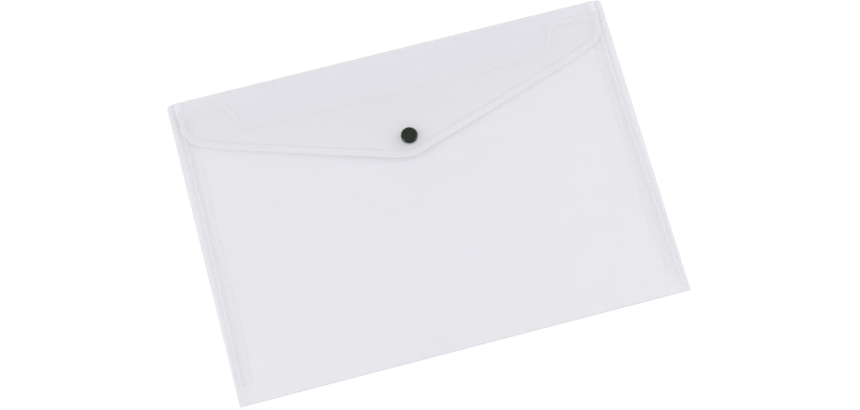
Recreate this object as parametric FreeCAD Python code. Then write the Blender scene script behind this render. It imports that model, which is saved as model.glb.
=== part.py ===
# Press-stud document wallet for A4 paper, of translucent polypropylene sheet, lying on its back.
# The sheet is one piece folded and welded into a pocket with a V-shaped flap. Each panel between
# two folds is a solid of its own, and so is each of the four parts of the press stud.
# Frame: +X along the width, +Y towards the flap's crease, +Z up, and the origin under the middle of
# the wallet, in the plane that its back face rests on. Lengths are in millimetres.
import FreeCAD, Part
import math
import os

from FreeCAD import Vector

# Sheet and outline
SHEET = 0.3
WIDTH = 330.0
HEIGHT = 230.0
CORNER_RADIUS = 2.5

# Pocket: the front panel stands RIM above the resting plane along its edges and POCKET in the middle
RIM = 2.25
POCKET = 4.45
FULL_X = 90.0
RIM_X = 144.0
FULL_LOW_Y = -72.0
FULL_HIGH_Y = 88.0

# Mouth of the front panel, between two higher shoulders
MOUTH_Y = 86.8
MOUTH_CORNER_X = 115.9
MOUTH_RADIUS = 9.0
SHOULDER_Y = 106.8
SHOULDER_IN_X = 122.4
SHOULDER_OUT_X = 150.0
SHOULDER_RADIUS = 8.0

# Side gussets: a strip folded in from the back panel's edge, and a flange welded under the front panel.
# The crease between them is at GUSSET_X down to GUSSET_TAPER_Y, and runs out to GUSSET_FOOT_X below.
GUSSET_X = 158.2
GUSSET_FOOT_X = 161.2
GUSSET_TAPER_Y = 30.0
GUSSET_TOP_Y = 108.0
FLANGE_X = 151.5
FLANGE_FOOT_X = 154.5
FLANGE_TAPER_Y = -70.0
FLANGE_FOOT_Y = -101.0
FLANGE_TOP_Y = 100.8

# Flap: two straight edges from a rounded point a little off the middle, each steeper near its side
FLAP_HALF_WIDTH = 159.4
FLAP_POINT_X = -3.3
FLAP_POINT_Y = 28.5
FLAP_POINT_RADIUS = 32.0
FLAP_SLOPE = 0.327
FLAP_BEND_X = 125.0
FLAP_BEND_RADIUS = 120.0
FLAP_SIDE_SLOPE = 0.39
FLAP_SIDE_RADIUS = 18.5
FLAP_GAP = 0.35
CREASE_END_GAP = 0.3

# Press stud, and the way the flap rises to it
STUD_Y = 46.0
STUD_LIFT = 2.8
LEVEL_REACH = 16.0
TENT_REACH = 42.0
TENT_STRETCH = 0.6
CAP_RADIUS = 6.1
CAP_HEIGHT = 1.3
CAP_RIM_HEIGHT = 0.5
CAP_ROUNDING = 1.2
INNER_CAP_HEIGHT = 1.2
DIMPLE_RADIUS = 0.8
DIMPLE_DEPTH = 0.15
POST_RADIUS = 1.2
POST_HOLE_RADIUS = 1.25
POST_HEAD_RADIUS = 1.8
POST_HEAD_HEIGHT = 0.4
SOCKET_RADIUS = 5.3
SOCKET_HEIGHT = 2.0
SOCKET_WEB = 0.6
SOCKET_CAVITY_RADIUS = 3.2
SOCKET_LIP_RADIUS = 2.95
SOCKET_LIP_HEIGHT = 0.4
STUD_BASE_HEIGHT = 0.6
STUD_HEIGHT = 1.6
STUD_NECK_RADIUS = 2.5
STUD_BULB_RADIUS = 2.7
STUD_TIP_RADIUS = 2.3
STUD_BULB_Z = 1.25
STUD_RECESS_RADIUS = 1.9
STUD_RECESS_DEPTH = 0.5

# Spacing of the points that the curved sheets pass through, and a margin outside any outline
GRID = 8.0
MARGIN = 5.0

# Worked out from the above
EDGE_X = WIDTH / 2
EDGE_Y = HEIGHT / 2
FOLD_RADIUS = (RIM + SHEET) / 2
CREASE_RADIUS = (RIM + SHEET + FLAP_GAP + SHEET) / 2
FOLD_Y = -EDGE_Y + FOLD_RADIUS
CREASE_Y = EDGE_Y - CREASE_RADIUS
FRONT_TOP = POCKET + SHEET
FLAP_UNDER = FRONT_TOP + STUD_LIFT
FLAP_TOP = FLAP_UNDER + SHEET


def smooth(value, start, end):
    """0 up to start, 1 from end on, and a level-ended curve between."""
    u = min(max((value - start) / (end - start), 0.0), 1.0)
    return u * u * (3.0 - 2.0 * u)


def front_height(x, y):
    """Height of the front panel's underside: RIM at its edges, POCKET in the middle."""
    across = 1.0 - smooth(abs(x), FULL_X, RIM_X)
    along = smooth(y, FOLD_Y, FULL_LOW_Y) * (1.0 - smooth(y, FULL_HIGH_Y, CREASE_Y))
    return RIM + (POCKET - RIM) * across * along


def flap_height(x, y):
    """Height of the flap's underside: just above the front panel, and lifted by the press stud."""
    reach = math.hypot(x * TENT_STRETCH, y - STUD_Y)
    tent = 1.0 - smooth(reach, LEVEL_REACH, TENT_REACH)
    return front_height(x, y) + SHEET + FLAP_GAP + (STUD_LIFT - FLAP_GAP) * tent


def outline(corners):
    """A closed flat wire through (x, y, radius) corners, each rounded by an arc of its radius."""
    count = len(corners)
    stretches = []
    for i, (x, y, radius) in enumerate(corners):
        corner = Vector(x, y, 0)
        back = (Vector(*corners[i - 1][:2], 0) - corner).normalize()
        ahead = (Vector(*corners[(i + 1) % count][:2], 0) - corner).normalize()
        if radius == 0:
            stretches.append((corner, corner, corner))
            continue
        half = back.getAngle(ahead) / 2
        inward = (back + ahead).normalize()
        reach = radius / math.tan(half)
        depth = radius / math.sin(half) - radius
        stretches.append((corner + back * reach, corner + inward * depth, corner + ahead * reach))
    edges = []
    for i, (start, middle, end) in enumerate(stretches):
        if start != end:
            edges.append(Part.Arc(start, middle, end).toShape())
        edges.append(Part.LineSegment(end, stretches[(i + 1) % count][0]).toShape())
    return Part.Wire(edges)


def mirrored(right_side):
    """The corners of a symmetric outline's left side, in order after those of its right side."""
    return [(-x, y, radius) for x, y, radius in reversed(right_side)]


def plate(corners, bottom, height):
    """An upright prism on an outline."""
    face = Part.Face(outline(corners))
    face.translate(Vector(0, 0, bottom))
    return face.extrude(Vector(0, 0, height))


def steps(reach):
    """Evenly spaced values from below -reach to above +reach."""
    half = math.ceil((reach + MARGIN) / GRID)
    return [GRID * i for i in range(-half, half + 1)]


def curved_sheet(height, corners):
    """A sheet whose underside follows height(x, y), cut to an outline."""
    points = [[Vector(x, y, height(x, y)) for y in steps(EDGE_Y)] for x in steps(EDGE_X)]
    surface = Part.BSplineSurface()
    surface.interpolate(points)
    slab = surface.toShape().extrude(Vector(0, 0, SHEET))
    return slab.common(plate(corners, 0, FLAP_TOP + MARGIN))


def hole():
    """The hole that a post of the press stud passes through."""
    return Part.makeCylinder(POST_HOLE_RADIUS, FLAP_TOP + MARGIN, Vector(0, STUD_Y, 0))


def half_roll(y, radius, half_width, side):
    """A half tube of sheet along X whose open side faces -side in Y, resting on the plane Z = 0."""
    low = Vector(-half_width, y, 0)
    high = Vector(-half_width, y, 2 * radius)
    out = Vector(0, side * radius, radius)
    skin = Vector(0, 0, SHEET)
    bulge = Vector(0, side * SHEET, 0)
    middle = Vector(-half_width, y, 0) + out
    edges = [
        Part.Arc(low, middle, high).toShape(),
        Part.LineSegment(high, high - skin).toShape(),
        Part.Arc(high - skin, middle - bulge, low + skin).toShape(),
        Part.LineSegment(low + skin, low).toShape(),
    ]
    return Part.Face(Part.Wire(edges)).extrude(Vector(2 * half_width, 0, 0))


def back_panel():
    """The flat panel behind, whose two top corners stand beside the flap's crease."""
    notch_x = FLAP_HALF_WIDTH + CREASE_END_GAP
    right_side = [
        (EDGE_X, FOLD_Y, 0),
        (EDGE_X, EDGE_Y, CORNER_RADIUS),
        (notch_x, EDGE_Y, 0),
        (notch_x, CREASE_Y, 0),
    ]
    return plate(right_side + mirrored(right_side), 0, SHEET)


def front_panel():
    """The panel in front, with its notched mouth between two shoulders."""
    right_side = [
        (GUSSET_FOOT_X, FOLD_Y, 0),
        (GUSSET_X, GUSSET_TAPER_Y, 0),
        (GUSSET_X, FLANGE_TOP_Y, 0),
        (SHOULDER_OUT_X, SHOULDER_Y, SHOULDER_RADIUS),
        (SHOULDER_IN_X, SHOULDER_Y, SHOULDER_RADIUS),
        (MOUTH_CORNER_X, MOUTH_Y, MOUTH_RADIUS),
    ]
    return curved_sheet(front_height, right_side + mirrored(right_side)).cut(hole())


def flap():
    """The flap, from its crease to its rounded point."""
    corners = [(FLAP_POINT_X, FLAP_POINT_Y, FLAP_POINT_RADIUS)]
    for side in (1, -1):
        bend_y = FLAP_POINT_Y + FLAP_SLOPE * abs(side * FLAP_BEND_X - FLAP_POINT_X)
        side_y = bend_y + FLAP_SIDE_SLOPE * (FLAP_HALF_WIDTH - FLAP_BEND_X)
        half = [
            (side * FLAP_BEND_X, bend_y, FLAP_BEND_RADIUS),
            (side * FLAP_HALF_WIDTH, side_y, FLAP_SIDE_RADIUS),
            (side * FLAP_HALF_WIDTH, CREASE_Y, 0),
        ]
        corners = corners + half if side == 1 else half[::-1] + corners
    return curved_sheet(flap_height, corners).cut(hole())


def crease_at(y):
    """Distance of the crease between gusset and flange from the middle of the wallet."""
    run = min(max((GUSSET_TAPER_Y - y) / (GUSSET_TAPER_Y - FOLD_Y), 0.0), 1.0)
    return GUSSET_X + (GUSSET_FOOT_X - GUSSET_X) * run


def gusset(side):
    """The strip that slopes up and inwards from the back panel's edge to the flange."""
    sections = []
    for y in (FOLD_Y, GUSSET_TAPER_Y, GUSSET_TOP_Y):
        crease_x = crease_at(y)
        slope = math.atan2(RIM - SHEET, EDGE_X - crease_x)
        foot_x = EDGE_X - SHEET / math.sin(slope)
        profile = [(EDGE_X, SHEET), (crease_x, RIM), (crease_x, RIM - SHEET), (foot_x, SHEET)]
        points = [Vector(side * x, y, z) for x, z in profile]
        sections.append(Part.makePolygon(points + points[:1]))
    return Part.makeLoft(sections, True, True)


def weld_flange(side):
    """The flange inside the gusset's crease, welded flat under the front panel's margin."""
    corners = [
        (side * FLANGE_X, FLANGE_TOP_Y, 0),
        (side * GUSSET_X, FLANGE_TOP_Y, 0),
        (side * GUSSET_X, GUSSET_TAPER_Y, 0),
        (side * crease_at(FLANGE_FOOT_Y), FLANGE_FOOT_Y, 0),
        (side * FLANGE_FOOT_X, FLANGE_FOOT_Y, 0),
        (side * FLANGE_X, FLANGE_TAPER_Y, 0),
    ]
    return plate(corners, RIM - SHEET, SHEET)


def turned(profile):
    """A solid of revolution about the press stud's axis, from (radius, z) points."""
    points = [Vector(radius, STUD_Y, z) for radius, z in profile]
    face = Part.Face(Part.makePolygon(points + points[:1]))
    return face.revolve(Vector(0, STUD_Y, 0), Vector(0, 0, 1), 360)


def button(base, up, height):
    """A round cap with a rounded rim and a small dimple, standing on base and facing up or down."""
    rim = base + up * CAP_RIM_HEIGHT
    top = base + up * height
    shoulder = math.sqrt(0.5)
    round_height = height - CAP_RIM_HEIGHT
    arc_middle = Vector(
        CAP_RADIUS - CAP_ROUNDING * (1 - shoulder), STUD_Y, rim + up * round_height * shoulder
    )
    points = [
        Vector(0, STUD_Y, base),
        Vector(CAP_RADIUS, STUD_Y, base),
        Vector(CAP_RADIUS, STUD_Y, rim),
        Vector(CAP_RADIUS - CAP_ROUNDING, STUD_Y, top),
        Vector(DIMPLE_RADIUS, STUD_Y, top),
        Vector(0, STUD_Y, top - up * DIMPLE_DEPTH),
    ]
    edges = []
    for i, start in enumerate(points):
        end = points[(i + 1) % len(points)]
        if start.z == rim:
            edges.append(Part.Arc(start, arc_middle, end).toShape())
        else:
            edges.append(Part.LineSegment(start, end).toShape())
    return Part.Face(Part.Wire(edges)).revolve(Vector(0, STUD_Y, 0), Vector(0, 0, 1), 360)


def post(base, end, up):
    """A rivet post from base to end, with the flattened head that holds its partner."""
    shank = Part.makeCylinder(
        POST_RADIUS, abs(end - base), Vector(0, STUD_Y, base), Vector(0, 0, up)
    )
    head = Part.makeCylinder(
        POST_HEAD_RADIUS, POST_HEAD_HEIGHT, Vector(0, STUD_Y, end), Vector(0, 0, up)
    )
    return shank.fuse(head)


def snap_cap():
    """The button on the flap, riveted down through the flap and the socket."""
    return button(FLAP_TOP, 1, CAP_HEIGHT).fuse(post(FLAP_TOP, FLAP_UNDER - SOCKET_WEB, -1))


def snap_inner_cap():
    """The button inside the pocket, riveted up through the front panel and the stud."""
    recess = FRONT_TOP + STUD_HEIGHT - STUD_RECESS_DEPTH
    return button(POCKET, -1, INNER_CAP_HEIGHT).fuse(post(POCKET, recess, 1))


def snap_socket():
    """The socket under the flap, open below, with a lip round its mouth."""
    mouth = FLAP_UNDER - SOCKET_HEIGHT
    web = FLAP_UNDER - SOCKET_WEB
    return turned(
        [
            (POST_HOLE_RADIUS, FLAP_UNDER),
            (SOCKET_RADIUS, FLAP_UNDER),
            (SOCKET_RADIUS, mouth),
            (SOCKET_LIP_RADIUS, mouth),
            (SOCKET_LIP_RADIUS, mouth + SOCKET_LIP_HEIGHT),
            (SOCKET_CAVITY_RADIUS, mouth + SOCKET_LIP_HEIGHT),
            (SOCKET_CAVITY_RADIUS, web),
            (POST_HOLE_RADIUS, web),
        ]
    )


def snap_stud():
    """The stud on the front panel, whose bulb stands up in the socket."""
    base = FRONT_TOP + STUD_BASE_HEIGHT
    tip = FRONT_TOP + STUD_HEIGHT
    recess = tip - STUD_RECESS_DEPTH
    return turned(
        [
            (POST_HOLE_RADIUS, FRONT_TOP),
            (SOCKET_RADIUS, FRONT_TOP),
            (SOCKET_RADIUS, base),
            (STUD_NECK_RADIUS, base),
            (STUD_BULB_RADIUS, FRONT_TOP + STUD_BULB_Z),
            (STUD_TIP_RADIUS, tip),
            (STUD_RECESS_RADIUS, tip),
            (STUD_RECESS_RADIUS, recess),
            (POST_HOLE_RADIUS, recess),
        ]
    )


NODES = {
    "back_panel": back_panel(),
    "bottom_fold": half_roll(FOLD_Y, FOLD_RADIUS, EDGE_X, -1),
    "front_panel": front_panel(),
    "left_gusset": gusset(-1),
    "right_gusset": gusset(1),
    "left_weld_flange": weld_flange(-1),
    "right_weld_flange": weld_flange(1),
    "flap_crease": half_roll(CREASE_Y, CREASE_RADIUS, FLAP_HALF_WIDTH, 1),
    "flap": flap(),
    "snap_cap": snap_cap(),
    "snap_socket": snap_socket(),
    "snap_stud": snap_stud(),
    "snap_inner_cap": snap_inner_cap(),
}

os.makedirs("parts", exist_ok=True)
for name, shape in NODES.items():
    shape.exportStep("parts/" + name + ".step")
    print(name, "valid", shape.isValid(), "solids", len(shape.Solids), "volume", round(shape.Volume, 2))
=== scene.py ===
# Press-stud document wallet for A4 paper, of translucent polypropylene sheet, lying on a white table.
# The frame is the CAD model's: +X along the width, +Y towards the flap's crease, +Z up, metres.
# Shapes are worked out in millimetres and scaled when a mesh is made.
import math

import bpy
import numpy as np
from mathutils import Matrix, Vector
from mathutils.geometry import delaunay_2d_cdt


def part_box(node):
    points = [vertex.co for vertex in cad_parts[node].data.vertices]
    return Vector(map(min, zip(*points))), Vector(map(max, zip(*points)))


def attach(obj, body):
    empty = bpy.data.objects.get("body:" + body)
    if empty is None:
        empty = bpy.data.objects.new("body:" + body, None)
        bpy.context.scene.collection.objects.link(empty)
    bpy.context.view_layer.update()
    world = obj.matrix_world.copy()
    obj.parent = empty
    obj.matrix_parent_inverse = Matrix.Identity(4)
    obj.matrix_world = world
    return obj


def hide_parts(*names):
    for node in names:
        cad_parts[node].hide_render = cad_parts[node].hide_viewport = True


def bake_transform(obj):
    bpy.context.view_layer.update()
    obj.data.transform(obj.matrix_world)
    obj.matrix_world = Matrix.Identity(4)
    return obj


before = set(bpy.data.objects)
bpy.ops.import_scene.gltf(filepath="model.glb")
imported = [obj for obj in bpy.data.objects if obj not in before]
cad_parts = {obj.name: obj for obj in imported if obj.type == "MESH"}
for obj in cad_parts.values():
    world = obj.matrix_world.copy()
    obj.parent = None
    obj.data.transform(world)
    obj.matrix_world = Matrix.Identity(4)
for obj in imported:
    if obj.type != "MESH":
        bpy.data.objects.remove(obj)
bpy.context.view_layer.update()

MM = 0.001


def cad(node, high, axis):
    """One side of a CAD node's box, in millimetres."""
    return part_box(node)[high][axis] / MM


# Driving dimensions, in millimetres
SHEET = cad("back_panel", 1, 2)
EDGE_X = cad("back_panel", 1, 0)
EDGE_Y = cad("back_panel", 1, 1)
CORNER_RADIUS = 2.5
RIM = cad("bottom_fold", 1, 2) - SHEET
POCKET = 4.45
FULL_X = 90.0
RIM_X = 144.0
FULL_LOW_Y = -72.0
FULL_HIGH_Y = 88.0
MOUTH_Y = 86.8
MOUTH_CORNER_X = 115.9
MOUTH_RADIUS = 9.0
SHOULDER_Y = 106.8
SHOULDER_IN_X = 122.4
SHOULDER_OUT_X = 150.0
SHOULDER_RADIUS = 8.0
GUSSET_X = 158.2
GUSSET_FOOT_X = 161.2
GUSSET_TAPER_Y = 30.0
GUSSET_TOP_Y = cad("right_gusset", 1, 1)
FLANGE_X = 151.5
FLANGE_FOOT_X = 154.5
FLANGE_TAPER_Y = -70.0
FLANGE_FOOT_Y = -101.0
FLANGE_TOP_Y = cad("right_weld_flange", 1, 1)
STRIP_CORNER_RADIUS = 1.5
FLAP_HALF_WIDTH = 159.4
FLAP_POINT_X = -3.3
FLAP_POINT_Y = 28.5
FLAP_POINT_RADIUS = 32.0
FLAP_SLOPE = 0.327
FLAP_BEND_X = 125.0
FLAP_BEND_RADIUS = 120.0
FLAP_SIDE_SLOPE = 0.39
FLAP_SIDE_RADIUS = 18.5
FLAP_GAP = 0.35
CREASE_END_GAP = 0.3
STUD_Y = 46.0
STUD_LIFT = 2.8
LEVEL_REACH = 16.0
TENT_REACH = 42.0
TENT_STRETCH = 0.6
CAP_RADIUS = 6.1
CAP_HEIGHT = 1.3
CAP_ROUNDING = 1.1
INNER_CAP_HEIGHT = 1.2
DIMPLE_RADIUS = 0.8
DIMPLE_DEPTH = 0.15
POST_RADIUS = 1.2
POST_HEAD_RADIUS = 1.8
POST_HEAD_HEIGHT = 0.4
SOCKET_RADIUS = 5.3
SOCKET_HEIGHT = 2.0
SOCKET_WEB = 0.6
SOCKET_CAVITY_RADIUS = 3.2
SOCKET_LIP_RADIUS = 2.95
SOCKET_LIP_HEIGHT = 0.4
STUD_BASE_HEIGHT = 0.6
STUD_HEIGHT = 1.6
STUD_NECK_RADIUS = 2.5
STUD_BULB_RADIUS = 2.7
STUD_TIP_RADIUS = 2.3
STUD_BULB_Z = 1.25
STUD_RECESS_RADIUS = 1.9
STUD_RECESS_DEPTH = 0.5

# Details that the CAD model leaves out: the ridge pressed into the sheet beside its cut edges, which
# fades out before the top crease, the rounding of a cut edge and the band beside it, the
# pressed crease of each gusset, the weld at its top end, its slight bow, and the tight fold at its
# foot.
# The ridges, the bands, the creases and the weld's top end are painted darker: painted shade for the
# dark lines that light draws along them
MOUTH_RIDGE_INSET = 5.0
FLAP_RIDGE_INSET = 5.6
RIDGE_HALF_WIDTH = 0.85
RIDGE_HEIGHT = 0.16
RIDGE_FADE_START = 6.0
RIDGE_FADE_END = 1.0
CHAMFER = 0.07
EDGE_BAND = 0.9
CREASE_BAND = 1.0
WELD_FOOT_Y = 98.0
WELD_REACH = 3.6
WELD_GAP = 0.03
GUSSET_BOW = 0.06
SIDE_FOLD_RADIUS = 0.35

# The sheet's waviness: its height, the distances from the press stud at which it starts and is full,
# and for each wave its share of the height, the lengths along X and Y in which it turns by one radian,
# and its phase
WAVE = 0.16
WAVE_START = 8.0
WAVE_FULL = 45.0
WAVES = (
    (0.5, 23.0, 61.0, 0.7),
    (0.3, -47.0, 19.0, 2.1),
    (0.2, 11.0, 13.0, 0.0),
)

# The press stud: play round its posts, and the roundings of its moulded edges
POST_PLAY = 0.05
FINE_EDGE = 0.05
SMALL_EDGE = 0.1
SOFT_EDGE = 0.12
DIMPLE_EDGE = 0.15
SOCKET_EDGE = 0.35
STUD_BASE_EDGE = 0.3
STUD_BULB_EDGE = 0.2
STUD_RECESS_EDGE = 0.08

# Spacing of the vertices along edges, round arcs and over the press stud, and the rows of each fold
EDGE_STEP = 4.0
ARC_STEP = math.radians(9)
SMALLEST_RADIUS = 0.3
STUD_STEP = 0.6
STUD_SEGMENTS = 96
BOTTOM_FOLD_ROWS = 10
TOP_CREASE_ROWS = 12
SIDE_FOLD_ROWS = 6

# Grid of vertices across a panel: its spacing, and as shares of it the distance between rows and the
# room that it leaves beside the outline and beside lines
GRID = 5.5
GRID_ROW = 0.87
EDGE_CLEARANCE = 0.45
LINE_CLEARANCE = 0.4

# Lines beside a ridge, in half widths from its middle
RIDGE_SHARES = (-1.6, -1.0, -0.5, 0.0, 0.5, 1.0, 1.6)

# How far lines run past the outline, which cuts them off: creases, fold rows, the flap's edge, and the
# mouth's edge in lengths of the slope beyond its shoulder
LINE_OVERSHOOT = 1.0
ROW_OVERSHOOT = 3.0
EDGE_OVERSHOOT = 10.0
RUN_ON_TIMES = 5

# Distances, areas and turns too small to count
NEAR = 1e-3
SAME_PLACE = 1e-5
SMALLEST_AREA = 1e-6
SHARPEST_CORNER = 0.5

# Worked out from the above
FOLD_RADIUS = (RIM + SHEET) / 2
CREASE_RADIUS = (RIM + SHEET + FLAP_GAP + SHEET) / 2
FOLD_Y = -EDGE_Y + FOLD_RADIUS
CREASE_Y = EDGE_Y - CREASE_RADIUS
FOLD_LENGTH = math.pi * (FOLD_RADIUS - SHEET / 2)
CREASE_LENGTH = math.pi * (CREASE_RADIUS - SHEET / 2)
SIDE_FOLD_START_X = EDGE_X - SIDE_FOLD_RADIUS
SIDE_FOLD_MIDDLE = SIDE_FOLD_RADIUS - SHEET / 2
SIDE_FOLD_END_X = SIDE_FOLD_START_X + math.pi * SIDE_FOLD_MIDDLE
FRONT_TOP = POCKET + SHEET
FLAP_UNDER = FRONT_TOP + STUD_LIFT
FLAP_TOP = FLAP_UNDER + SHEET


# ---------------------------------------------------------------- outlines


def moved(path, inset):
    """An open path of (x, y, radius) corners moved to its left, with radii that keep concentric."""
    places = [Vector(corner[:2]) for corner in path]
    runs = [(end - start).normalized() for start, end in zip(places, places[1:])]
    result = []
    for place, corner, before, after in zip(places, path, runs[:1] + runs, runs + runs[-1:]):
        left = Vector((-before.y - after.y, before.x + after.x)) / (1 + before.dot(after))
        turn = before.x * after.y - before.y * after.x
        spot = place + left * inset
        radius = corner[2]
        if radius:
            radius = max(radius - math.copysign(inset, turn), SMALLEST_RADIUS)
        result.append((spot.x, spot.y, radius))
    return result


def rounded(corners, closed=True, step=EDGE_STEP):
    """Points along (x, y, radius) corners, with an arc at each rounded one."""
    count = len(corners)
    stretches = []
    for i, (x, y, radius) in enumerate(corners):
        corner = Vector((x, y))
        if radius == 0 or (not closed and i in (0, count - 1)):
            stretches.append([corner])
            continue
        back = (Vector(corners[i - 1][:2]) - corner).normalized()
        ahead = (Vector(corners[(i + 1) % count][:2]) - corner).normalized()
        half = math.acos(max(-1.0, min(1.0, back.dot(ahead)))) / 2
        centre = corner + (back + ahead).normalized() * (radius / math.sin(half))
        start = corner + back * (radius / math.tan(half)) - centre
        sweep = math.pi - 2 * half
        if back.x * ahead.y - back.y * ahead.x > 0:
            sweep = -sweep
        pieces = max(3, math.ceil(abs(sweep) / ARC_STEP))
        arc = []
        for k in range(pieces + 1):
            angle = sweep * k / pieces
            cos, sin = math.cos(angle), math.sin(angle)
            arc.append(centre + Vector((start.x * cos - start.y * sin, start.x * sin + start.y * cos)))
        stretches.append(arc)
    points = []
    for i, arc in enumerate(stretches):
        points += arc
        if closed or i < count - 1:
            end = stretches[(i + 1) % count][0]
            pieces = max(1, math.ceil((end - arc[-1]).length / step))
            points += [arc[-1].lerp(end, k / pieces) for k in range(1, pieces)]
    return points


def mirrored(right_side):
    """All corners of an outline that is symmetric about X = 0, from those of its right side."""
    return right_side + [(-x, y, radius) for x, y, radius in reversed(right_side) if x != 0]


def distances(points, path):
    """How far each point lies from a path of straight runs."""
    spots = np.array([tuple(p) for p in points])
    ends = np.array([tuple(p) for p in path])
    starts, runs = ends[:-1], np.diff(ends, axis=0)
    away = spots[:, None, :] - starts[None, :, :]
    share = np.clip((away * runs).sum(2) / (runs**2).sum(1), 0, 1)
    return np.linalg.norm(away - share[..., None] * runs, axis=2).min(1)


# ---------------------------------------------------------------- heights


def smooth(value, start, end):
    """0 up to start, 1 from end on, and a level-ended curve between."""
    u = min(max((value - start) / (end - start), 0.0), 1.0)
    return u * u * (3.0 - 2.0 * u)


def wave(x, y):
    """The long, shallow unevenness of a sheet that has been folded and stacked."""
    return WAVE * sum(
        share * math.sin(x / x_radius + y / y_radius + phase)
        for share, x_radius, y_radius, phase in WAVES
    )


def front_height(x, y):
    """Height of the front panel's underside: RIM at its edges, POCKET in the middle."""
    across = 1.0 - smooth(abs(x), FULL_X, RIM_X)
    along = smooth(y, FOLD_Y, FULL_LOW_Y) * (1.0 - smooth(y, FULL_HIGH_Y, CREASE_Y))
    waviness = smooth(math.hypot(x, y - STUD_Y), WAVE_START, WAVE_FULL)
    return RIM + (POCKET - RIM + wave(x, y) * waviness) * across * along


def flap_height(x, y):
    """Height of the flap's underside: just above the front panel, and lifted by the press stud."""
    reach = math.hypot(x * TENT_STRETCH, y - STUD_Y)
    tent = 1.0 - smooth(reach, LEVEL_REACH, TENT_REACH)
    return front_height(x, y) + SHEET + FLAP_GAP + (STUD_LIFT - FLAP_GAP) * tent


def ridge(distance):
    """Rise of the pressed ridge at a distance from its middle."""
    share = min(abs(distance) / RIDGE_HALF_WIDTH, 1.0)
    return RIDGE_HEIGHT * 0.5 * (1.0 + math.cos(math.pi * share))


# ---------------------------------------------------------------- meshes


def new_piece(name, vertices, faces, materials, face_slots=None, sharp=()):
    """A mesh object from points in millimetres, smooth except along the sharp edges."""
    mesh = bpy.data.meshes.new(name)
    mesh.from_pydata([Vector(v) * MM for v in vertices], [], faces)
    for material in materials:
        mesh.materials.append(material)
    mesh.polygons.foreach_set("use_smooth", [True] * len(faces))
    if face_slots is not None:
        mesh.polygons.foreach_set("material_index", face_slots)
    if sharp:
        wanted = {frozenset(edge) for edge in sharp}
        flags = [frozenset(edge.vertices) in wanted for edge in mesh.edges]
        mesh.attributes.new("sharp_edge", "BOOLEAN", "EDGE").data.foreach_set("value", flags)
    mesh.validate()
    piece = bpy.data.objects.new(name, mesh)
    bpy.context.scene.collection.objects.link(piece)
    return piece


# Material slots of a piece of sheet
FACE = 0
CUT = 1
PRESSED_SHADE = 2
FOLDED = 3
DARKER_FLANGE = 4


def flat_mesh(outline, lines):
    """The points and triangles of a flat sheet inside an outline, with edges along the lines."""
    points = list(outline)
    links = []
    for line in lines:
        links += [(len(points) + k, len(points) + k + 1) for k in range(len(line) - 1)]
        points += line
    low = Vector((min(p.x for p in outline), min(p.y for p in outline)))
    high = Vector((max(p.x for p in outline), max(p.y for p in outline)))
    row = GRID * GRID_ROW
    grid = [
        Vector((low.x + (i + 0.5 * (j % 2)) * GRID, low.y + j * row))
        for j in range(int((high.y - low.y) / row) + 1)
        for i in range(int((high.x - low.x) / GRID) + 1)
    ]
    clear = distances(grid, outline + outline[:1]) > GRID * EDGE_CLEARANCE
    for line in lines:
        clear &= distances(grid, line) > GRID * LINE_CLEARANCE
    points += [p for p, free in zip(grid, clear) if free]
    ring = list(range(len(outline)))
    flat, _, triangles, _, _, _ = delaunay_2d_cdt(points, links, [ring], 1, SAME_PLACE)
    turned = [t if area(flat, t) > 0 else t[::-1] for t in triangles]
    inside = np.array([tuple(p) for p in outline])
    turned = [t for t in turned if abs(area(flat, t)) > SMALLEST_AREA and within(inside, flat, t)]
    used = sorted({i for t in turned for i in t})
    order = {old: new for new, old in enumerate(used)}
    return [flat[i] for i in used], [tuple(order[i] for i in t) for t in turned]


def sheet_piece(name, corners, place, lines=(), joined=None, marking=None, tone=None):
    """A closed piece of sheet with rounded cut edges.

    corners is the outline of the flat cut, place(x, y, height) puts a point of the flat sheet, height
    above its underside, in space, lines are paths that the mesh follows, joined(x, y) says where the
    edge runs on into another piece, marking(x, y) gives the slot of the faces there, and tone is the
    material of the plain ones.
    """
    flat, triangles = flat_mesh(rounded(corners), lines)
    count = {}
    for t in triangles:
        for a, b in zip(t, t[1:] + t[:1]):
            count[(a, b)] = count.get((a, b), 0) + 1
    border = [(a, b) for a, b in count if (b, a) not in count]
    inward = {}
    for a, b in border:
        run = (flat[b] - flat[a]).normalized()
        for i in (a, b):
            inward.setdefault(i, []).append(Vector((-run.y, run.x)))

    # Each flat point gives one on the upper face and one on the lower, drawn in by the chamfer along
    # the border, where two more on the rim lie between them
    vertices = []
    for i, p in enumerate(flat):
        spot = p
        if i in inward:
            first, last = inward[i][0], inward[i][-1]
            spot = p + (first + last) * (CHAMFER / max(1 + first.dot(last), SHARPEST_CORNER))
        vertices += [place(spot.x, spot.y, SHEET), place(spot.x, spot.y, 0.0)]
    rim = {}
    for i in inward:
        rim[i] = len(vertices)
        vertices += [place(flat[i].x, flat[i].y, SHEET - CHAMFER), place(flat[i].x, flat[i].y, CHAMFER)]

    faces = [(2 * a, 2 * b, 2 * c) for a, b, c in triangles]
    faces += [(2 * c + 1, 2 * b + 1, 2 * a + 1) for a, b, c in triangles]
    slots = []
    for t in triangles:
        middle = (flat[t[0]] + flat[t[1]] + flat[t[2]]) / 3
        slots.append(marking(middle.x, middle.y) if marking else FACE)
    slots += slots
    sharp = []
    for a, b in border:
        middle = (flat[a] + flat[b]) / 2
        slot = FACE if joined and joined(middle.x, middle.y) else CUT
        stack_a = (2 * a + 1, rim[a] + 1, rim[a], 2 * a)
        stack_b = (2 * b + 1, rim[b] + 1, rim[b], 2 * b)
        for k in range(3):
            faces.append((stack_a[k], stack_b[k], stack_b[k + 1], stack_a[k + 1]))
            slots.append(slot)
        sharp += [(2 * a, 2 * b), (2 * a + 1, 2 * b + 1)]
    materials = [
        tone or polypropylene,
        cut_edge,
        pressed_line_shade,
        back_polypropylene,
        darker_flange_polypropylene,
    ]
    return new_piece(name, vertices, faces, materials, slots, sharp)


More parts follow.
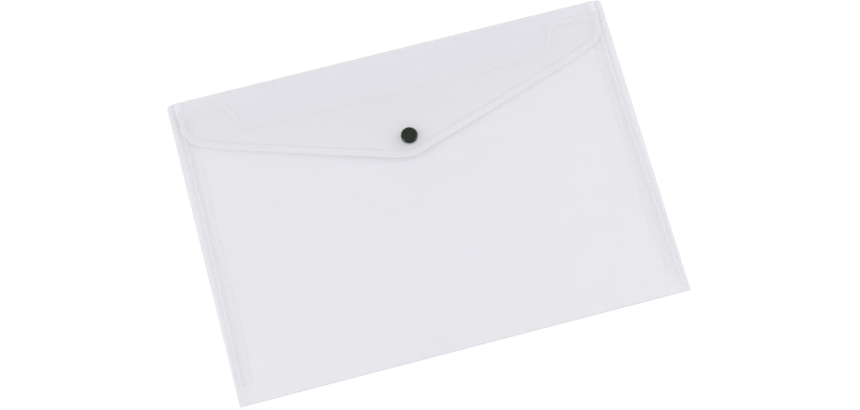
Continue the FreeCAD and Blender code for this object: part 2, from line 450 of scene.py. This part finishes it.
def area(points, triangle):
    """Signed area of a flat triangle."""
    a, b, c = (points[i] for i in triangle)
    return 0.5 * ((b.x - a.x) * (c.y - a.y) - (b.y - a.y) * (c.x - a.x))


def within(outline, points, triangle):
    """Whether a triangle's middle lies inside an outline."""
    x, y = np.mean([tuple(points[i]) for i in triangle], axis=0)
    x0, y0 = outline[:, 0], outline[:, 1]
    x1, y1 = np.roll(x0, -1), np.roll(y0, -1)
    spans = (y0 > y) != (y1 > y)
    crossing = x0 + (y - y0) * (x1 - x0) / np.where(spans, y1 - y0, 1.0)
    return np.count_nonzero(spans & (crossing > x)) % 2 == 1


def turned_piece(name, corners):
    """A part of the press stud: a ring of (radius, z, rounding) corners turned about its axis."""
    ring = rounded(corners, step=STUD_STEP)
    on_axis = [abs(p.x) < SAME_PLACE for p in ring]
    vertices = []
    index = []
    for p, centred in zip(ring, on_axis):
        if centred:
            index.append([len(vertices)] * STUD_SEGMENTS)
            vertices.append((0.0, STUD_Y, p.y))
            continue
        index.append([len(vertices) + k for k in range(STUD_SEGMENTS)])
        for k in range(STUD_SEGMENTS):
            angle = 2 * math.pi * k / STUD_SEGMENTS
            vertices.append((p.x * math.cos(angle), STUD_Y + p.x * math.sin(angle), p.y))
    faces = []
    for i in range(len(ring)):
        j = (i + 1) % len(ring)
        if on_axis[i] and on_axis[j]:
            continue
        for k in range(STUD_SEGMENTS):
            m = (k + 1) % STUD_SEGMENTS
            face = [index[i][k], index[i][m], index[j][m], index[j][k]]
            faces.append(tuple(dict.fromkeys(face)))
    return new_piece(name, vertices, faces, [stud_plastic])


# ---------------------------------------------------------------- materials

CLOUD_TINT = 0.99
GLOSS_SPREAD = 0.06
POLYPROPYLENE_IOR = 1.49
STUD_IOR = 1.5


def nodes_of(name):
    """A new material with a Principled shader, and helpers that add and link nodes."""
    material = bpy.data.materials.new(name)
    material.use_nodes = True
    tree = material.node_tree
    shader = tree.nodes["Principled BSDF"]

    def node(kind, **settings):
        made = tree.nodes.new(kind)
        for key, value in settings.items():
            if key in made.inputs:
                made.inputs[key].default_value = value
            else:
                setattr(made, key, value)
        return made

    def link(a, out, b, socket):
        tree.links.new(a.outputs[out], b.inputs[socket])

    return material, shader, node, link


def tinted(node, link, shader, noise, ramp, gloss):
    """Colour and roughness that follow a noise: ramp is (position, colour) twice, gloss a range."""
    tint = node("ShaderNodeValToRGB")
    for element, (position, colour) in zip(tint.color_ramp.elements, ramp):
        element.position = position
        element.color = colour
    link(noise, "Fac", tint, "Fac")
    link(tint, "Color", shader, "Base Color")
    spread = node("ShaderNodeMapRange")
    spread.inputs["To Min"].default_value, spread.inputs["To Max"].default_value = gloss
    link(noise, "Fac", spread, "Value")
    link(spread, "Result", shader, "Roughness")


def grained(node, link, shader, noise, strength, distance):
    """A fine relief that follows a noise, distance metres deep."""
    bump = node("ShaderNodeBump", Strength=strength, Distance=distance)
    link(noise, "Fac", bump, "Height")
    link(bump, "Normal", shader, "Normal")


def sheet_material(name, colour, alpha, roughness):
    """Translucent polypropylene: a milky tint with faint clouds, and a fine sand-blasted grain."""
    material, shader, node, link = nodes_of(name)
    where = node("ShaderNodeTexCoord")
    clouds = node("ShaderNodeTexNoise", Scale=14.0, Detail=3.0, Roughness=0.5)
    grain = node("ShaderNodeTexNoise", Scale=1400.0, Detail=2.0, Roughness=0.6)
    link(where, "Object", clouds, "Vector")
    link(where, "Object", grain, "Vector")
    cloudy = [c * CLOUD_TINT for c in colour[:3]] + [1.0]
    ramp = ((0.3, cloudy), (0.7, colour))
    tinted(node, link, shader, clouds, ramp, (roughness - GLOSS_SPREAD, roughness + GLOSS_SPREAD))
    grained(node, link, shader, grain, 0.25, 0.00004)
    shader.inputs["IOR"].default_value = POLYPROPYLENE_IOR
    shader.inputs["Alpha"].default_value = alpha
    return material


def stud_material():
    """Glossy moulded plastic, near black with a green cast, with fine scuffs."""
    material, shader, node, link = nodes_of("stud_plastic")
    where = node("ShaderNodeTexCoord")
    mottle = node("ShaderNodeTexNoise", Scale=420.0, Detail=4.0, Roughness=0.6)
    link(where, "Object", mottle, "Vector")
    ramp = ((0.35, (0.006, 0.010, 0.005, 1.0)), (0.7, (0.014, 0.020, 0.012, 1.0)))
    tinted(node, link, shader, mottle, ramp, (0.10, 0.20))
    grained(node, link, shader, mottle, 0.15, 0.00003)
    shader.inputs["IOR"].default_value = STUD_IOR
    return material


# One sheet in three tones: the back panel darkest, the flap lighter and the front near white, with the
# lower half of each fold in the back's tone. The lighter front and flap are painted light, making up
# for the shade that the sheets above cast on those below
polypropylene = sheet_material("polypropylene", (0.985, 0.985, 0.980, 1.0), 0.12, 0.40)
back_polypropylene = sheet_material("polypropylene_back", (0.773, 0.757, 0.845, 1.0), 0.24, 0.40)
# The side strip's flange: a darker tone than the rest of the strip
darker_flange_polypropylene = sheet_material("polypropylene_darker_flange", (0.860, 0.855, 0.865, 1.0), 0.12, 0.40)
flap_polypropylene = sheet_material("polypropylene_flap", (0.943, 0.936, 0.962, 1.0), 0.24, 0.40)
cut_edge = sheet_material("polypropylene_cut_edge", (0.96, 0.95, 0.97, 1.0), 0.26, 0.60)
# Ridges, creases, the bands along cut edges and the weld's top end: a darker, more opaque tone, painted
# shade for the dark lines along them
pressed_line_shade = sheet_material("polypropylene_pressed_shade", (0.865, 0.855, 0.88, 1.0), 0.26, 0.70)
stud_plastic = stud_material()


# ---------------------------------------------------------------- sheet pieces


def back_place(x, y, height):
    """A point of the back panel, which lies flat."""
    return (x, y, height)


def roll(centre_y, side, radius, distance):
    """(y, z) of a point of a half roll, distance of its turn round from the top, on the given side."""
    angle = math.pi * distance
    return centre_y + side * radius * math.sin(angle), math.cos(angle) * radius


def front_place(x, y, height):
    """A point of the front panel or, below FOLD_Y, of the bottom fold it runs on into."""
    if y >= FOLD_Y:
        return (x, y, front_height(x, y) + height + front_ridge(x, y))
    radius = FOLD_RADIUS - SHEET + height
    new_y, z = roll(FOLD_Y, -1, radius, (FOLD_Y - y) / FOLD_LENGTH)
    return (x, new_y, FOLD_RADIUS + z)


def flap_place(x, y, height):
    """A point of the flap or, above CREASE_Y, of the crease that joins it to the back panel."""
    if y <= CREASE_Y:
        return (x, y, flap_height(x, y) + height + flap_ridge(x, y))
    radius = CREASE_RADIUS - SHEET + height
    new_y, z = roll(CREASE_Y, 1, radius, (y - CREASE_Y) / CREASE_LENGTH)
    return (x, new_y, CREASE_RADIUS + z)


def crease_at(y):
    """Distance of the crease between gusset and flange from the middle of the wallet."""
    run = min(max((GUSSET_TAPER_Y - y) / (GUSSET_TAPER_Y - FOLD_Y), 0.0), 1.0)
    return GUSSET_X + (GUSSET_FOOT_X - GUSSET_X) * run


def crease_line(shift):
    """The right-hand crease between gusset and flange, moved outwards by shift."""
    corners = [
        (crease_at(FOLD_Y), FOLD_Y - LINE_OVERSHOOT, 0),
        (crease_at(FOLD_Y), FOLD_Y, 0),
        (crease_at(GUSSET_TAPER_Y), GUSSET_TAPER_Y, 0),
        (crease_at(GUSSET_TOP_Y), GUSSET_TOP_Y + LINE_OVERSHOOT, 0),
    ]
    return [p + Vector((shift, 0)) for p in rounded(corners, closed=False)]


def fold_rows(half_width, start_y, length, rows):
    """Level paths across a fold that runs on from start_y, the last one short of its far edge."""
    reach = half_width + ROW_OVERSHOOT
    levels = [start_y + length * k / rows for k in range(rows)]
    return [rounded([(-reach, y, 0), (reach, y, 0)], closed=False) for y in levels]


def edge_lines(chain, inset):
    """The paths that a mesh follows beside a cut edge: its band of painted shade, and its ridge at
    inset.
    """
    offsets = [EDGE_BAND] + [inset + RIDGE_HALF_WIDTH * share for share in RIDGE_SHARES]
    return [rounded(moved(chain, offset), closed=False) for offset in offsets]


def beside(edge, inset, x, y):
    """Whether a point lies in the band of painted shade along a cut edge, or on its ridge at inset."""
    distance = distances([(x, y)], edge)[0]
    return distance < EDGE_BAND or abs(distance - inset) < RIDGE_HALF_WIDTH


# Back panel: its sides end where the side folds begin
back_corners = mirrored(
    [
        (SIDE_FOLD_START_X, FOLD_Y, 0),
        (SIDE_FOLD_START_X, GUSSET_TOP_Y, 0),
        (EDGE_X, GUSSET_TOP_Y, 0),
        (EDGE_X, EDGE_Y, CORNER_RADIUS),
        (FLAP_HALF_WIDTH + CREASE_END_GAP, EDGE_Y, 0),
        (FLAP_HALF_WIDTH + CREASE_END_GAP, CREASE_Y, 0),
    ]
)


def back_joined(x, y):
    """Where the back panel runs on into a fold."""
    beside_crease = abs(x) < FLAP_HALF_WIDTH + CREASE_END_GAP / 2 and y > CREASE_Y - NEAR
    beside_fold = abs(x) > SIDE_FOLD_START_X - NEAR and y < GUSSET_TOP_Y
    return y < FOLD_Y + NEAR or beside_crease or beside_fold


back = sheet_piece(
    "back_sheet",
    back_corners,
    back_place,
    joined=back_joined,
    tone=back_polypropylene,
)
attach(back, "pocket")
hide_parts("back_panel")

# Front panel, with the bottom fold
mouth_chain = [
    (GUSSET_X, FLANGE_TOP_Y, 0),
    (SHOULDER_OUT_X, SHOULDER_Y, SHOULDER_RADIUS),
    (SHOULDER_IN_X, SHOULDER_Y, SHOULDER_RADIUS),
    (MOUTH_CORNER_X, MOUTH_Y, MOUTH_RADIUS),
]
front_corners = mirrored(
    [
        (EDGE_X, FOLD_Y - FOLD_LENGTH, 0),
        (EDGE_X, FOLD_Y, 0),
        (GUSSET_FOOT_X, FOLD_Y, 0),
        (GUSSET_X, GUSSET_TAPER_Y, 0),
    ]
    + mouth_chain
)
# The lines beside the edge run on well past the panel's side, where the outline cuts them off
run_on = (
    SHOULDER_OUT_X + RUN_ON_TIMES * (GUSSET_X - SHOULDER_OUT_X),
    SHOULDER_Y - RUN_ON_TIMES * (SHOULDER_Y - FLANGE_TOP_Y),
    0,
)
mouth_chain = mirrored([run_on] + mouth_chain[1:])
mouth_edge = rounded(mouth_chain, closed=False)


def front_ridge(x, y):
    """Rise of the ridge beside the mouth and the shoulders."""
    if y < MOUTH_Y - MOUTH_RIDGE_INSET - 2 * RIDGE_HALF_WIDTH or abs(x) > GUSSET_X:
        return 0.0
    return ridge(distances([(x, y)], mouth_edge)[0] - MOUTH_RIDGE_INSET)


def front_joined(x, y):
    """Where the bottom fold meets the back panel."""
    return y < FOLD_Y - FOLD_LENGTH + NEAR


def front_marking(x, y):
    """The lower half of the bottom fold, the ridge and band beside the mouth, and the side creases."""
    if y < FOLD_Y - FOLD_LENGTH / 2:
        return FOLDED
    if y < FOLD_Y:
        return FACE
    # Painted shade: the side creases and the ridge and band beside the mouth take the darker
    # pressed-line tone
    creased = abs(x) > crease_at(y) - CREASE_BAND
    return PRESSED_SHADE if creased or beside(mouth_edge, MOUTH_RIDGE_INSET, x, y) else FACE


front_lines = edge_lines(mouth_chain, MOUTH_RIDGE_INSET)
front_lines += fold_rows(EDGE_X, FOLD_Y, -FOLD_LENGTH, BOTTOM_FOLD_ROWS)
front_lines += [[Vector((side * p.x, p.y)) for p in crease_line(-CREASE_BAND)] for side in (-1, 1)]
front = sheet_piece("front_sheet", front_corners, front_place, front_lines, front_joined, front_marking)
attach(front, "pocket")
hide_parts("front_panel", "bottom_fold")


# Side strips: folded up from the back panel's edge, sloping in to a crease, and then level under the
# front panel. Flat coordinates are X along the strip, and beyond the fold's start its turned length.


def strip_place(side):
    """The place function of a side strip."""
    low = 2 * SIDE_FOLD_RADIUS - SHEET
    high = RIM - SHEET - WELD_GAP

    def place(x, y, height):
        if x > SIDE_FOLD_START_X:
            angle = (x - SIDE_FOLD_START_X) / SIDE_FOLD_MIDDLE
            radius = SIDE_FOLD_RADIUS - SHEET + height
            return (
                side * (SIDE_FOLD_START_X + radius * math.sin(angle)),
                y,
                SIDE_FOLD_RADIUS + radius * math.cos(angle),
            )
        share = min((SIDE_FOLD_START_X - x) / (SIDE_FOLD_START_X - crease_at(y)), 1.0)
        bowed = share - GUSSET_BOW * math.sin(2 * math.pi * share)
        return (side * x, y, low + (high - low) * bowed + height)

    return place


def strip_joined(x, y):
    """Where a side strip's fold meets the back panel or ends beside it."""
    return x > SIDE_FOLD_START_X


def strip_marking(x, y):
    """The fold's lower half, the crease, the weld at the top end of the side fold, and the flange."""
    if x > (SIDE_FOLD_START_X + SIDE_FOLD_END_X) / 2:
        return FOLDED
    past_crease = x - crease_at(y)
    closed = y > WELD_FOOT_Y and past_crease < WELD_REACH
    # Painted shade: the crease and the weld's top end take the darker pressed-line tone
    if closed or abs(past_crease) < CREASE_BAND:
        return PRESSED_SHADE
    # The flange takes the darker tone
    return DARKER_FLANGE if past_crease < 0 else FACE


def strip_piece(name, side):
    """One side strip with its flange."""
    corners = [
        (SIDE_FOLD_END_X, FOLD_Y, 0),
        (SIDE_FOLD_END_X, GUSSET_TOP_Y, 0),
        (crease_at(GUSSET_TOP_Y), GUSSET_TOP_Y, STRIP_CORNER_RADIUS),
        (crease_at(FLANGE_TOP_Y), FLANGE_TOP_Y, 0),
        (FLANGE_X, FLANGE_TOP_Y, STRIP_CORNER_RADIUS),
        (FLANGE_X, FLANGE_TAPER_Y, 0),
        (FLANGE_FOOT_X, FLANGE_FOOT_Y, 0),
        (crease_at(FLANGE_FOOT_Y), FLANGE_FOOT_Y, 0),
        (crease_at(FOLD_Y), FOLD_Y, 0),
    ]
    lines = [crease_line(shift) for shift in (-CREASE_BAND, 0.0, CREASE_BAND, WELD_REACH)]
    foot, head = FOLD_Y - LINE_OVERSHOOT, GUSSET_TOP_Y + LINE_OVERSHOOT
    for k in range(SIDE_FOLD_ROWS):
        x = SIDE_FOLD_START_X + (SIDE_FOLD_END_X - SIDE_FOLD_START_X) * k / SIDE_FOLD_ROWS
        lines.append(rounded([(x, foot, 0), (x, head, 0)], closed=False))
    piece = sheet_piece(name, corners, strip_place(side), lines, strip_joined, strip_marking)
    if side < 0:
        piece.data.flip_normals()
    return piece


for name, side in (("left", -1), ("right", 1)):
    strip = strip_piece(name + "_side_strip", side)
    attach(strip, "pocket")
    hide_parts(name + "_gusset", name + "_weld_flange")

# Flap, with the crease behind it


def flap_outline(top_y):
    """The flap's corners, from the left one at top_y round its point to the right one."""
    halves = []
    for side in (-1, 1):
        bend_y = FLAP_POINT_Y + FLAP_SLOPE * abs(side * FLAP_BEND_X - FLAP_POINT_X)
        side_y = bend_y + FLAP_SIDE_SLOPE * (FLAP_HALF_WIDTH - FLAP_BEND_X)
        halves.append(
            [
                (side * FLAP_HALF_WIDTH, top_y, 0),
                (side * FLAP_HALF_WIDTH, side_y, FLAP_SIDE_RADIUS),
                (side * FLAP_BEND_X, bend_y, FLAP_BEND_RADIUS),
            ]
        )
    return halves[0] + [(FLAP_POINT_X, FLAP_POINT_Y, FLAP_POINT_RADIUS)] + halves[1][::-1]


flap_corners = flap_outline(CREASE_Y + CREASE_LENGTH)
flap_chain = flap_outline(CREASE_Y + CREASE_LENGTH + EDGE_OVERSHOOT)
flap_edge = rounded(flap_chain, closed=False)


def flap_ridge(x, y):
    """Rise of the ridge that runs round the flap beside its edge."""
    fade = 1.0 - smooth(y, CREASE_Y - RIDGE_FADE_START, CREASE_Y - RIDGE_FADE_END)
    if fade == 0.0:
        return 0.0
    return fade * ridge(distances([(x, y)], flap_edge)[0] - FLAP_RIDGE_INSET)


def flap_joined(x, y):
    """Where the crease meets the back panel."""
    return y > CREASE_Y + CREASE_LENGTH - NEAR


def flap_marking(x, y):
    """The lower half of the crease, and the ridge and the band along the edge."""
    if y > CREASE_Y + CREASE_LENGTH / 2:
        return FOLDED
    # Painted shade: the ridge and the band along the edge take the darker pressed-line tone
    return PRESSED_SHADE if y < CREASE_Y and beside(flap_edge, FLAP_RIDGE_INSET, x, y) else FACE


flap_lines = edge_lines(flap_chain, FLAP_RIDGE_INSET)
flap_lines += fold_rows(FLAP_HALF_WIDTH, CREASE_Y, CREASE_LENGTH, TOP_CREASE_ROWS)
flap = sheet_piece(
    "flap_sheet",
    flap_corners,
    flap_place,
    flap_lines,
    flap_joined,
    flap_marking,
    flap_polypropylene,
)
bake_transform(flap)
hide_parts("flap", "flap_crease")


# ---------------------------------------------------------------- press stud

HOLE_RADIUS = POST_RADIUS + POST_PLAY
web = FLAP_UNDER - SOCKET_WEB
mouth = FLAP_UNDER - SOCKET_HEIGHT
top = FLAP_TOP + CAP_HEIGHT
cap = turned_piece(
    "stud_cap",
    [
        (0, web - POST_HEAD_HEIGHT, 0),
        (POST_HEAD_RADIUS, web - POST_HEAD_HEIGHT, SOFT_EDGE),
        (POST_HEAD_RADIUS, web, FINE_EDGE),
        (POST_RADIUS, web, 0),
        (POST_RADIUS, FLAP_TOP, 0),
        (CAP_RADIUS, FLAP_TOP, SOFT_EDGE),
        (CAP_RADIUS, top, CAP_ROUNDING),
        (DIMPLE_RADIUS, top, DIMPLE_EDGE),
        (0, top - DIMPLE_DEPTH, 0),
    ],
)
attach(cap, "flap")
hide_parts("snap_cap")

socket = turned_piece(
    "stud_socket",
    [
        (HOLE_RADIUS, FLAP_UNDER, 0),
        (HOLE_RADIUS, web, FINE_EDGE),
        (SOCKET_CAVITY_RADIUS, web, SMALL_EDGE),
        (SOCKET_CAVITY_RADIUS, mouth + SOCKET_LIP_HEIGHT, FINE_EDGE),
        (SOCKET_LIP_RADIUS, mouth + SOCKET_LIP_HEIGHT, FINE_EDGE),
        (SOCKET_LIP_RADIUS, mouth, SMALL_EDGE),
        (SOCKET_RADIUS, mouth, SOCKET_EDGE),
        (SOCKET_RADIUS, FLAP_UNDER, SMALL_EDGE),
    ],
)
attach(socket, "flap")
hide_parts("snap_socket")

base = FRONT_TOP + STUD_BASE_HEIGHT
tip = FRONT_TOP + STUD_HEIGHT
recess = tip - STUD_RECESS_DEPTH
stud = turned_piece(
    "stud_post",
    [
        (HOLE_RADIUS, FRONT_TOP, 0),
        (SOCKET_RADIUS, FRONT_TOP, SMALL_EDGE),
        (SOCKET_RADIUS, base, STUD_BASE_EDGE),
        (STUD_NECK_RADIUS, base, SOFT_EDGE),
        (STUD_BULB_RADIUS, FRONT_TOP + STUD_BULB_Z, STUD_BULB_EDGE),
        (STUD_TIP_RADIUS, tip, SOFT_EDGE),
        (STUD_RECESS_RADIUS, tip, STUD_RECESS_EDGE),
        (STUD_RECESS_RADIUS, recess, FINE_EDGE),
        (HOLE_RADIUS, recess, 0),
    ],
)
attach(stud, "pocket")
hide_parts("snap_stud")

bottom = POCKET - INNER_CAP_HEIGHT
inner_cap = turned_piece(
    "stud_inner_cap",
    [
        (0, bottom + DIMPLE_DEPTH, 0),
        (DIMPLE_RADIUS, bottom, DIMPLE_EDGE),
        (CAP_RADIUS, bottom, CAP_ROUNDING),
        (CAP_RADIUS, POCKET, SOFT_EDGE),
        (POST_RADIUS, POCKET, 0),
        (POST_RADIUS, recess, FINE_EDGE),
        (POST_HEAD_RADIUS, recess, FINE_EDGE),
        (POST_HEAD_RADIUS, recess + POST_HEAD_HEIGHT, SOFT_EDGE),
        (0, recess + POST_HEAD_HEIGHT, 0),
    ],
)
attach(inner_cap, "pocket")
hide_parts("snap_inner_cap")


# ---------------------------------------------------------------- table, lights and camera

TABLE_REACH = 4000.0
TABLE_GAP = 0.05
WORLD_STRENGTH = 0.5
LIGHT_PLACE = (1.1, -0.1, 1.3)
LIGHT_SIZE = 0.9
LIGHT_POWER = 12.9
CAMERA_PLACE = (-0.117015, -0.378890, 1.348460)
CAMERA_FORWARD = (0.08444857, 0.26533643, -0.96045043)
CAMERA_UP = (0.24531456, 0.9286892, 0.27813152)
CAMERA_FOCAL_LENGTH = 81.55
CAMERA_SENSOR = 36.0

table_material, shader, _, _ = nodes_of("white_table")
shader.inputs["Base Color"].default_value = (0.9, 0.9, 0.9, 1.0)
shader.inputs["Roughness"].default_value = 0.9
shader.inputs["Specular IOR Level"].default_value = 0.0
table = new_piece(
    "table",
    [(x * TABLE_REACH, y * TABLE_REACH, 0) for x, y in ((-1, -1), (1, -1), (1, 1), (-1, 1))],
    [(0, 1, 2, 3)],
    [table_material],
)
table.location.z = -TABLE_GAP * MM

world = bpy.data.worlds.new("studio")
world.use_nodes = True
background = world.node_tree.nodes["Background"]
background.inputs["Color"].default_value = (1.0, 1.0, 1.0, 1.0)
background.inputs["Strength"].default_value = WORLD_STRENGTH
bpy.context.scene.world = world

# Two square lights, left and right, that face the wallet
for name, side in (("left_light", -1), ("right_light", 1)):
    light = bpy.data.lights.new(name, "AREA")
    light.size = LIGHT_SIZE
    light.energy = LIGHT_POWER
    lamp = bpy.data.objects.new(name, light)
    lamp.location = (side * LIGHT_PLACE[0], LIGHT_PLACE[1], LIGHT_PLACE[2])
    lamp.rotation_euler = (-lamp.location).to_track_quat("-Z", "Y").to_euler()
    bpy.context.scene.collection.objects.link(lamp)

lens = bpy.data.cameras.new("camera")
lens.sensor_width = CAMERA_SENSOR
lens.lens = CAMERA_FOCAL_LENGTH
lens.clip_start = 0.05
camera = bpy.data.objects.new("camera", lens)
forward = Vector(CAMERA_FORWARD).normalized()
right = forward.cross(Vector(CAMERA_UP)).normalized()
upward = right.cross(forward)
turn = Matrix((right, upward, -forward)).transposed()
camera.matrix_world = Matrix.Translation(CAMERA_PLACE) @ turn.to_4x4()
bpy.context.scene.collection.objects.link(camera)
bpy.context.scene.camera = camera

bpy.context.scene.view_settings.view_transform = "Standard"
bpy.context.scene.cycles.transparent_max_bounces = 64
